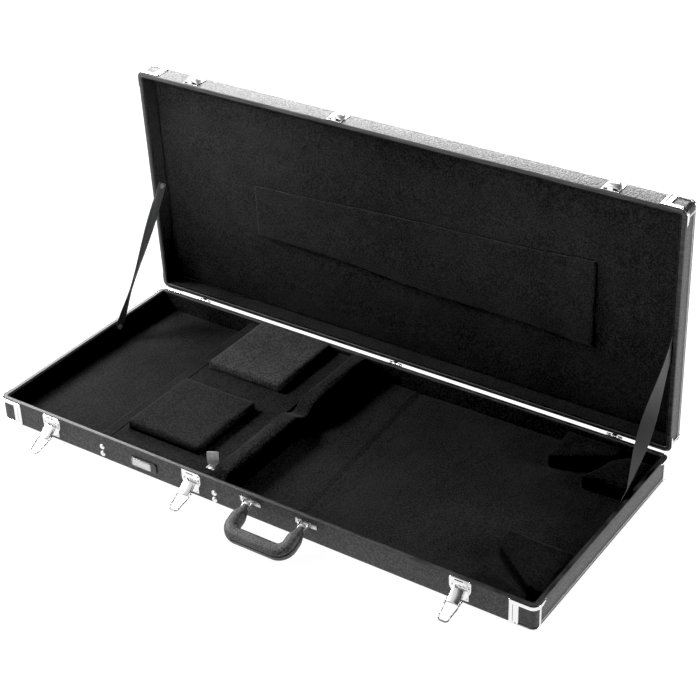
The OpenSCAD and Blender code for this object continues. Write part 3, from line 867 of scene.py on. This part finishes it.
def raised_pad():
    """Pad outline from its CAD node, shut, with slack, wavy long edges."""
    co = shut_points("lid_raised_pad")
    left = co[:, 0] < 0
    (lx, l_low, l_high), (rx, r_low, r_high) = (
        (co[end, 0].mean(), co[end, 1].min(), co[end, 1].max()) for end in (left, ~left))
    wave = 2.5 * MM
    steps = [i / 24 for i in range(25)]
    points = [(lx + (rx - lx) * t, l_low + (r_low - l_low) * t + wave * math.sin(9 * t + 1) * t)
              for t in steps]
    points += [(lx + (rx - lx) * t, l_high + (r_high - l_high) * t
                + wave * math.sin(11 * t + 2)) for t in reversed(steps)]
    return prism(points, co[:, 2].min(), co[:, 2].max())


soft_piece("lid_raised_cushion", [raised_pad()], "lid", ["lid_raised_pad"], PLUSH,
           0.004, 0.0025, ripple=0.0008, lid=True, ripple_scale=12)

refined("compartment_ledges", WOOD, "base", 0.5 * MM, "wood")


# ---- cloth hinge and stay straps -------------------------------------------------------

def ribbon(centres, widths, thicks, half_w, half_t, across=9):
    """Closed flat strip through centres, with UVs in metres along and across."""
    verts, uvs = [], []
    run = 0.0
    ts = [2 * k / (across - 1) - 1 for k in range(across)]
    loop = [(t, 1 - 0.25 * abs(t) ** 6) for t in ts]
    loop += [(t, -h) for t, h in reversed(loop)]
    for i, c in enumerate(centres):
        if i:
            run += (c - centres[i - 1]).length
        for t, h in loop:
            verts.append(c + widths[i] * t * half_w + thicks[i] * h * half_t)
            uvs.append((run, (t + 1) * half_w))
    return verts, closed_faces(len(centres), len(loop)), uvs


def ribbon_piece(name, built, material, slot, nodes):
    verts, faces, uvs = built
    mesh = new_mesh(name, [(verts, faces)])
    layer = mesh.uv_layers.new(name="UVMap")
    for loop in mesh.loops:
        layer.data[loop.index].uv = uvs[loop.vertex_index]
    return finish_piece(name, mesh, material, None, nodes, slot, sharp=60, mend=True)


def stay_strap(side, turns):
    """Webbing turned through [(part of its length, degrees), ...] between the end walls."""
    node = "stay_strap_left" if side < 0 else "stay_strap_right"
    lo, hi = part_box(node)
    screws = map(centre_of, islands("strap_lower_screws") + islands("strap_upper_screws"))
    low, high = sorted((c for c in screws if c.x * side > 0), key=lambda c: c.z)
    x = (lo[0] + hi[0]) / 2
    a, b = Vector((x, low.y, low.z)), Vector((x, high.y, high.z))
    ahead = (b - a).normalized()
    a, b = a - ahead * 6 * MM, b + ahead * 6 * MM
    half_w = 12.3 * MM
    out = Vector((1, 0, 0))
    flat = ahead.cross(out).normalized()
    centres, widths, thicks = [], [], []
    steps = 110
    for i in range(steps + 1):
        t = i / steps
        angle = math.radians(turns[0][1])
        for (t0, d0), (t1, d1) in zip(turns, turns[1:]):
            angle += math.radians(d1 - d0) * smooth_step((t - t0) / (t1 - t0))
        width = flat * math.cos(angle) + out * math.sin(angle)
        droop = 2.0 * MM * math.sin(math.pi * t)
        centre = a.lerp(b, t) - UP * droop
        beside_wall = max(smooth_step((RIM + 8 * MM - centre.z) / (14 * MM)),
                          smooth_step((centre.y - HALF_W + 8 * MM) / (10 * MM)))
        off = half_w * abs(math.sin(angle)) * beside_wall
        centres.append(centre - out * side * off)
        widths.append(width)
        thicks.append(ahead.cross(width).normalized())
    built = ribbon(centres, widths, thicks, half_w, 0.62 * MM)
    made = ribbon_piece(node + "_webbing", built, WEBBING, "webbing", [node])
    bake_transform(made)


stay_strap(-1, [(0.0, 0), (0.30, -27), (0.78, 7), (1.0, 0)])
stay_strap(1, [(-0.12, 0), (0.9, -180)])

lo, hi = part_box("compartment_hinge_cloth")
count = 60
mid_x, mid_z = (lo[0] + hi[0]) / 2, (lo[2] + hi[2]) / 2
built = ribbon([Vector((mid_x, lo[1] + (hi[1] - lo[1]) * i / count, mid_z
                        + 0.15 * MM * noise.noise(Vector((i * 0.7, 0, 0)))))
                for i in range(count + 1)],
               [Vector((1, 0, 0))] * (count + 1), [UP] * (count + 1),
               (hi[0] - lo[0]) / 2, 0.38 * MM, across=21)
cloth_strip = ribbon_piece("compartment_hinge_strip", built, PLUSH, "plush",
                           ["compartment_hinge_cloth"])
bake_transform(cloth_strip)


# ---- pressed steel corners -------------------------------------------------------------

# In millimetres along the iron: its legs, the bend, its whole run and its end rib
IRON_FRONT, IRON_END = 48.0, 29.0
ARC = math.pi / 2 * CORNER / MM
IRON_RUN = (IRON_FRONT - CORNER / MM) + ARC + (IRON_END - CORNER / MM)
IRON_RIB = IRON_FRONT - CORNER / MM + ARC + 2.5
IRON_CAP = 9.5


def corner_point(sx, sy, u):
    """Point and outward normal on the case's outline, u mm from the iron's long end."""
    r = CORNER / MM
    front = IRON_FRONT - r
    if u < front:
        return Vector((sx * (HALF_L - (IRON_FRONT - u) * MM), sy * HALF_W, 0)), Vector((0, sy, 0))
    if u < front + ARC:
        a = (u - front) / r
        n = Vector((sx * math.sin(a), sy * math.cos(a), 0))
        return Vector((sx * (HALF_L - CORNER), sy * (HALF_W - CORNER), 0)) + n * CORNER, n
    rest = u - front - ARC
    return Vector((sx * HALF_L, sy * (HALF_W - CORNER - rest * MM), 0)), Vector((sx, 0, 0))


def iron_height(u, d, depth):
    """Height in mm over the tolex; d is measured down from the rim."""
    ribs = ((0, IRON_RUN, 0, IRON_CAP, 1.55, 1.3), (0, IRON_RUN, 0, 2.2, 1.95, 0.9),
            (1.2, 6.6, -2, depth, 1.6, 1.1), (7.4, 10.6, -2, depth, 1.15, 1.1),
            (13.2, 16.4, -2, depth, 0.8, 1.1),
            (IRON_RIB - 1.5, IRON_RIB + 1.5, -2, depth, 1.0, 0.9),
            (0, IRON_RIB + 1.5, depth - 3.6, depth, 1.1, 1.0))
    return (max(plateau(u, d, *rib) for rib in ribs) + dimple(u, d, 3.6, 5.2, 1.0, 1.1)
            + dimple(u, d, IRON_RUN - 4.2, 3.8, 0.9, 1.1) - 0.12)


def corner_iron(sx, sy, outer_z, rim_z):
    """Cap along the rim with posts below it and an open window between them."""
    us = np.arange(0, IRON_RUN + 0.01, IRON_RUN / 96)
    depth = abs(rim_z - outer_z) / MM - 0.4
    ds = np.concatenate([np.linspace(1.1, IRON_CAP, 13), np.linspace(10.6, depth - 3.6, 26),
                         np.linspace(depth - 2.9, depth, 5)])
    up = 1 if rim_z > outer_z else -1
    edge_u = IRON_RIB + 1.5
    verts = []
    for d in ds:
        for u in us:
            narrow = smooth_step((u - edge_u) / (IRON_RUN - edge_u))
            taper = 1 - 0.62 * narrow if d <= IRON_CAP else 1
            place, normal = corner_point(sx, sy, u)
            dd = ds[0] + (d - ds[0]) * taper
            verts.append(place + normal * iron_height(u, dd if taper < 1 else d, depth) * MM
                         + UP * (rim_z - up * dd * MM))

    def keep(i, j):
        d = (ds[i] + ds[i + 1]) / 2
        u = (us[j] + us[j + 1]) / 2
        return (d < IRON_CAP or u < 17.2 or edge_u - 4.4 < u < edge_u
                or (d > depth - 3.6 and u < edge_u))

    faces = grid_faces(len(ds), len(us), keep=keep)
    if sx * sy * up > 0:
        faces = [tuple(reversed(f)) for f in faces]
    used = sorted({i for f in faces for i in f})
    index = {v: k for k, v in enumerate(used)}
    return [verts[i] for i in used], [tuple(index[i] for i in f) for f in faces]


def corner_set(body, outer_z, rim_z, lid=False):
    parts = [corner_iron(sx, sy, outer_z, rim_z) for sx in (-1, 1) for sy in (-1, 1)]
    made = make_piece(body + "_corner_brackets", parts, CHROME, body,
                      [body + "_corner_irons"], "chrome", lid=lid, sharp=60)
    thicken(made, 0.9 * MM)


corner_set("base", 0, RIM)
corner_set("lid", LID_TOP, LID_RIM, lid=True)


# ---- latches ---------------------------------------------------------------------------

LATCH_XS = sorted(centre_of(b).x for b in islands("latch_plates"))


def latch_half_width(z):
    """Half width in mm of the shield-shaped plate at height z mm."""
    rows = ((7, 15.0), (8.2, 16.5), (20, 16.5), (26, 20.0), (30, 21.0), (46, 21.0),
            (48.6, 18.5))
    for (z0, w0), (z1, w1) in zip(rows, rows[1:]):
        if z <= z1:
            return w0 + (w1 - w0) * max(0, z - z0) / (z1 - z0)
    return rows[-1][1]


def latch_height(x, z, w):
    """Height in mm of the plate's pressing at (x, z), where it is w wide to each side."""
    border = min(w - abs(x), z - 7, 48.6 - z)
    h = 1.5 * smooth_step(border / 1.6 + 0.25)
    h += plateau(x, z, -12.5, 12.5, 25, 41.5, 0.7, 2.0)
    h += plateau(x, z, -8.5, 8.5, 9.5, 21, 0.5, 1.5)
    h += dimple(x, z, 0, 33, 1.6, 0.6)
    for s in (-1, 1):
        h += dimple(x, z, s * 17.6, 42.5, 1.2, 0.7)
        h += plateau(x, z, s * 17.2 - 1.2, s * 17.2 + 1.2, 27, 39, -0.5, 0.9)
    return h


def latch_plate(cx):
    """Sheet of one plate, with a slot open near its top."""
    xs = np.concatenate([np.linspace(-21, -10, 14), np.linspace(-9.2, 5.2, 19),
                         np.linspace(6, 21, 20)]) / 21.0
    zs = np.concatenate([np.linspace(7, 43, 44), np.linspace(43.7, 44.3, 2),
                         np.linspace(45, 48.6, 6)])
    verts = []
    for z in zs:
        w = latch_half_width(z)
        for s in xs:
            verts.append((cx + s * w * MM, -HALF_W - latch_height(s * w, z, w) * MM, z * MM))

    def keep(i, j):
        z = (zs[i] + zs[i + 1]) / 2
        x = (xs[j] + xs[j + 1]) / 2 * 21
        return not (43 < z < 45 and -10 < x < 6)

    return verts, grid_faces(len(zs), len(xs), keep=keep)


plates = make_piece("latch_plate_pressings", [latch_plate(x) for x in LATCH_XS], CHROME,
                    "base", ["latch_plates"], "chrome", sharp=60)
thicken(plates, 1.0 * MM)
refined("latch_ears", CHROME, "base", 0.25 * MM, "chrome")
refined("latch_lever_pins", STEEL, "base", 0.3 * MM, "chrome")
refined("lid_catches", CHROME, "lid", 0.5 * MM, "chrome", segments=3)


def catch_hood(cx):
    """Domed pressing over the catch's hook, open towards the rim."""
    verts = []
    rows, columns = 26, 33
    for t in np.linspace(0, 1, rows):
        half = 15.6 * math.sqrt(max(0.0, 1 - t ** 2.6)) + 0.3
        tall = 7.9 * (0.5 + 0.5 * smooth_step(t * 2.2)) * math.sqrt(max(0.0, 1 - t ** 5))
        for u in np.linspace(-1, 1, columns):
            bulge = max(0.0, 1 - abs(u) ** 3) ** 0.6
            y = HALF_W + (1.3 + tall * bulge) * MM
            verts.append((cx + u * half * MM, -y, (57.2 + 26 * t) * MM))
    return verts, grid_faces(rows, columns)


hoods = make_piece("lid_catch_hoods", [catch_hood(x) for x in LATCH_XS], NICKEL, "lid", (),
                   "chrome", lid=True, sharp=60)
thicken(hoods, 0.9 * MM)
# painted shade: a black block inside each hood's mouth stands in for the shade there
make_piece("lid_catch_mouth_painted_shade",
           [block((x - 13 * MM, -HALF_W - 4.4 * MM, 54 * MM),
                  (x - 1 * MM, -HALF_W - 1.6 * MM, 59 * MM)) for x in LATCH_XS],
           BADGE, "lid", (), "badge", lid=True)


def loop_wire(side):
    """Bent wire: short pins in the lever, legs drawing together, a rounded end."""
    node = "latch_loop_" + side
    pivot = Vector(JOINTS[node + "_pivot"]["pos_m"])
    lo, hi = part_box(node)
    wire = 1.5 * MM
    tip = Vector((pivot.x, lo[1] + wire, lo[2] + wire))
    reach = (tip - pivot).length
    down = (tip - pivot).normalized()
    half_w = (hi[0] - lo[0]) / 2 - wire
    end_w = 0.76 * half_w
    half = [(half_w - 3.5 * MM, 0), (half_w - 1.8 * MM, 0), (half_w - 0.6 * MM, 0.4 * MM),
            (half_w, 1.8 * MM)]
    bend = 6 * MM
    for t in np.linspace(0, 1, 20)[1:]:
        half.append((half_w + (end_w - half_w) * smooth_step(1.4 * t - 0.4),
                     1.8 * MM + (reach - bend - 1.8 * MM) * t))
    half += quarter(end_w - bend, reach - bend, bend, 0, 90, 9)[1:]
    half.append((0, reach))
    whole = half + [(-x, y) for x, y in reversed(half[:-1])]
    path = [pivot + Vector((x, 0, 0)) + down * y for x, y in whole]
    make_piece(node + "_wire", [tube(path, wire, 14)], WIRE, node, [node], "chrome", sharp=60)


for side in ("left", "middle", "right"):
    refined("latch_lever_" + side, CHROME, "latch_lever_" + side, 0.35 * MM, "chrome")
    loop_wire(side)


# ---- rivets, studs and screws ----------------------------------------------------------

def rivet_piece(name, node, body, axis_of):
    """Domed heads on a node's rivets; axis_of turns a rivet's centre into its direction."""
    parts = []
    for lo, hi in islands(node):
        size = hi - lo
        centre = (lo + hi) / 2
        axis = axis_of(centre)
        parts.append(rivet_head(centre - axis * (min(size) / 2), axis, max(size) / 2))
    make_piece(name, parts, NICKEL, body, [node], "chrome", sharp=50)


def outward(centre):
    return Vector((0, math.copysign(1, centre.y), 0))


def lid_outward(centre):
    """The shut lid's front and back rivets, turned with the lid."""
    return SHUT_TO_OPEN.to_3x3() @ outward(OPEN_TO_SHUT @ centre)


rivet_piece("base_rivet_heads", "base_rivets", "base", outward)
rivet_piece("divider_stud_heads", "divider_studs", "base", outward)
rivet_piece("lid_rivet_heads", "lid_rivets", "lid", lid_outward)
rivet_piece("pull_tab_rivet_head", "pull_tab_rivet", "compartment_lid", lambda centre: UP)


def screw_piece(name, node, body):
    """Washer and cross-head screw at one end of each strap."""
    washer = ((5.6, 0), (6, 0.15), (6, 0.8), (5.7, 1.0), (3.7, 1.05))
    head = ((3.4, 0.9), (3.4, 1.5), (3.0, 2.1), (2.2, 2.4), (1.8, 2.42), (1.0, 2.44),
            (0.3, 2.45))

    def cross(r, a):
        return -0.7 * MM * abs(math.cos(2 * a)) ** 8 if r < 1.9 * MM else 0.0

    parts = []
    for lo, hi in islands(node):
        centre = (lo + hi) / 2
        side = math.copysign(1, centre.x)
        foot = Vector((hi.x if side > 0 else lo.x, centre.y, centre.z))
        for profile, sides, height in ((washer, 36, None), (head, 48, cross)):
            parts.append(turned([(r * MM, h * MM) for r, h in profile], foot,
                                (-side, 0, 0), sides, height))
    make_piece(name, parts, STEEL, body, [node], "chrome", sharp=40)


screw_piece("strap_lower_fixings", "strap_lower_screws", "base")
screw_piece("strap_upper_fixings", "strap_upper_screws", "lid")

refined("hinge_base_leaves", CHROME, "base", 0.35 * MM, "chrome")
refined("hinge_lid_leaves", CHROME, "lid", 0.35 * MM, "chrome")
refined("hinge_pins", STEEL, "base", 0.3 * MM, "chrome")


# ---- handle ----------------------------------------------------------------------------

GRIP_LO, GRIP_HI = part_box("handle_grip")
PIVOT = Vector(JOINTS["handle_swing"]["pos_m"])
GRIP_R = 13.5 * MM
REACH = 63 * MM
DROP = math.asin((PIVOT.z - GRIP_R - GRIP_LO[2]) / REACH)
HALF_SPAN = (GRIP_HI[0] - GRIP_LO[0]) / 2 - GRIP_R
HANDLE_PLACE = Matrix.Translation(PIVOT) @ Matrix.Rotation(DROP, 4, "X")


def handle_path():
    """Half of the grip's centre line with the outward side at each point."""
    bend = 21 * MM
    points = []
    for t in np.linspace(0, 1, 24):
        points.append((Vector((-HALF_SPAN, -(4 * MM + (REACH - bend - 4 * MM) * t), 0)),
                       Vector((-1, 0, 0))))
    for a in np.linspace(0, 90, 22)[1:]:
        out = -Vector((*cos_sin(a), 0))
        points.append((Vector((bend - HALF_SPAN, bend - REACH, 0)) + out * bend, out))
    for x in np.linspace(bend - HALF_SPAN, 0, 14)[1:]:
        points.append((Vector((x, -REACH, 0)), Vector((0, -1, 0))))
    return points


def handle_piece():
    """Moulded grip: narrow necks, full corners, flattened section and a parting groove."""
    half = handle_path()
    path = half + [(Vector((-p.x, p.y, 0)), Vector((-o.x, o.y, 0)))
                   for p, o in reversed(half[:-1])]
    seam_at = math.radians(18)
    angles = sorted([2 * math.pi * k / 60 for k in range(60)] +
                    [seam_at + math.radians(d) for d in (-8, -5, -3.2, -1.6, 1.6, 3.2, 5, 8)])
    verts = []
    for p, out in path:
        depth = -p.y
        neck = smooth_step((depth - 3 * MM) / (30 * MM))
        across = (6.2 + 7.0 * neck) * MM
        tall = (5.6 + 8.1 * neck) * MM
        corner = abs(out.x * out.y) * 2
        for a in angles:
            c, s = math.cos(a), math.sin(a)
            fat = (abs(c) ** 2.6 + abs(s) ** 2.6) ** (-1 / 2.6)
            seam = math.exp(-((a - seam_at) / 0.075) ** 2)
            cut = -3.4 * MM * neck * seam
            grow = 1.2 * MM * corner if c > 0 else 0
            x = c * (across * fat + cut + grow)
            z = s * (tall * fat + cut * 0.4)
            verts.append(p + out * x + UP * max(-13.4 * MM, min(13.9 * MM, z)))
    mesh = new_mesh("handle_moulding", [(verts, closed_faces(len(path), len(angles)))])
    mesh.transform(HANDLE_PLACE)
    tidy_normals(mesh)
    finish_piece("handle_moulding", mesh, HANDLE, "handle", ["handle_grip"], "handle_plastic",
                 sharp=60)


handle_piece()
refined("handle_end_fittings", STEEL, "handle", 0.7 * MM, "chrome", segments=3)
refined("handle_brackets", WIRE, "base", 0.35 * MM, "chrome")


# ---- badge and pull tab ----------------------------------------------------------------

def badge_piece():
    """Blank badge: a black plate with a silver frame round a knurled plaque."""
    lo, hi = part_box("badge_plate")
    refined("badge_plate", BADGE, "base", 0.8 * MM, "badge", segments=3)
    cx, cz = (lo[0] + hi[0]) / 2 - 4 * MM, (lo[2] + hi[2]) / 2
    face = lo[1]
    half_x, half_z = 21 * MM, (hi[2] - lo[2]) / 2 - 2.6 * MM
    rim = []
    for k, (sx, sz) in enumerate(((1, 1), (-1, 1), (-1, -1), (1, -1))):
        rim += [(x, face, z) for x, z in quarter(
            cx + sx * (half_x - 2 * MM), cz + sz * (half_z - 2 * MM), 2 * MM, 90 * k,
            90 * (k + 1), 4)]
    make_piece("badge_frame", [tube(rim + rim[:2], 0.8 * MM, 10, cap=False)], WIRE, "base", (),
               "chrome", sharp=30)
    xs = np.linspace(-half_x + 1.2 * MM, half_x - 1.2 * MM, 79)
    zs = np.linspace(-half_z + 1.2 * MM, half_z - 1.2 * MM, 31)
    knurl = []
    for z in zs:
        for x in xs:
            wave = math.sin((x + z) / (0.9 * MM)) * math.sin((x - z) / (0.9 * MM))
            knurl.append((cx + x, face - (0.45 + 0.36 * wave) * MM, cz + z))
    make_piece("badge_plaque", [(knurl, grid_faces(len(zs), len(xs)))], PLAQUE, "base", (),
               "chrome", sharp=30, mend=True)


badge_piece()


def pull_tab():
    """Folded vinyl tab: foot under the rivet, tight bend, flap twisted to the right."""
    lo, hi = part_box("pull_tab")
    cx = (lo[0] + hi[0]) / 2
    foot_z = lo[2] + 0.75 * MM
    back_y = hi[1] - 0.7 * MM
    path = [Vector((cx, lo[1] + 0.5 * MM + t * (back_y - lo[1] - 3.5 * MM), foot_z))
            for t in np.linspace(0, 1, 6)]
    bend = 3 * MM
    for c, s in map(cos_sin, np.linspace(15, 90, 6)):
        path.append(Vector((cx, back_y - bend + bend * s, foot_z + bend * (1 - c))))
    for t in np.linspace(0.06, 1, 26):
        path.append(Vector((cx, back_y - 1.2 * MM * math.sin(t * math.pi),
                            foot_z + 3 * MM + t * (hi[2] - foot_z - 3.3 * MM))))
    widths, thicks = [], []
    top = path[-1].z
    for i, p in enumerate(path):
        ahead = (path[min(i + 1, len(path) - 1)] - path[max(i - 1, 0)]).normalized()
        rise = smooth_step((p.z - foot_z) / (6 * MM))
        turn = math.radians(26) * rise
        width = Vector((math.cos(turn), math.sin(turn), 0))
        corner = min(top - p.z, 2 * MM) / (2 * MM)
        half = (9.6 + 1.0 * rise - 1.0 * (1 - math.sqrt(1 - (1 - corner) ** 2))) * MM
        widths.append(width * half)
        thicks.append(ahead.cross(width).normalized())
    built = ribbon(path, widths, thicks, 1.0, 0.6 * MM, across=15)
    made = ribbon_piece("pull_tab_vinyl", built, VINYL, "vinyl_tab", ["pull_tab"])
    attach(made, "compartment_lid")
    stitches = []
    for i in range(14, len(path) - 3):
        for s in (-1, 1):
            edge = widths[i] * s * 0.84 - thicks[i] * 0.7 * MM
            stitches.append(tube([path[i] + edge, path[i].lerp(path[i + 1], 0.6) + edge],
                                 0.22 * MM, 6))
    make_piece("pull_tab_stitching", stitches, VINYL, "compartment_lid", (), "vinyl_tab")


pull_tab()


# ---- stage -----------------------------------------------------------------------------

floor_mesh = bpy.data.meshes.new("floor")
floor_mesh.from_pydata([(-30, -30, -0.0004), (30, -30, -0.0004), (30, 30, -0.0004),
                        (-30, 30, -0.0004)], [], [(0, 1, 2, 3)])
floor = bpy.data.objects.new("floor", floor_mesh)
floor_mesh.materials.append(make_floor())
scene.collection.objects.link(floor)
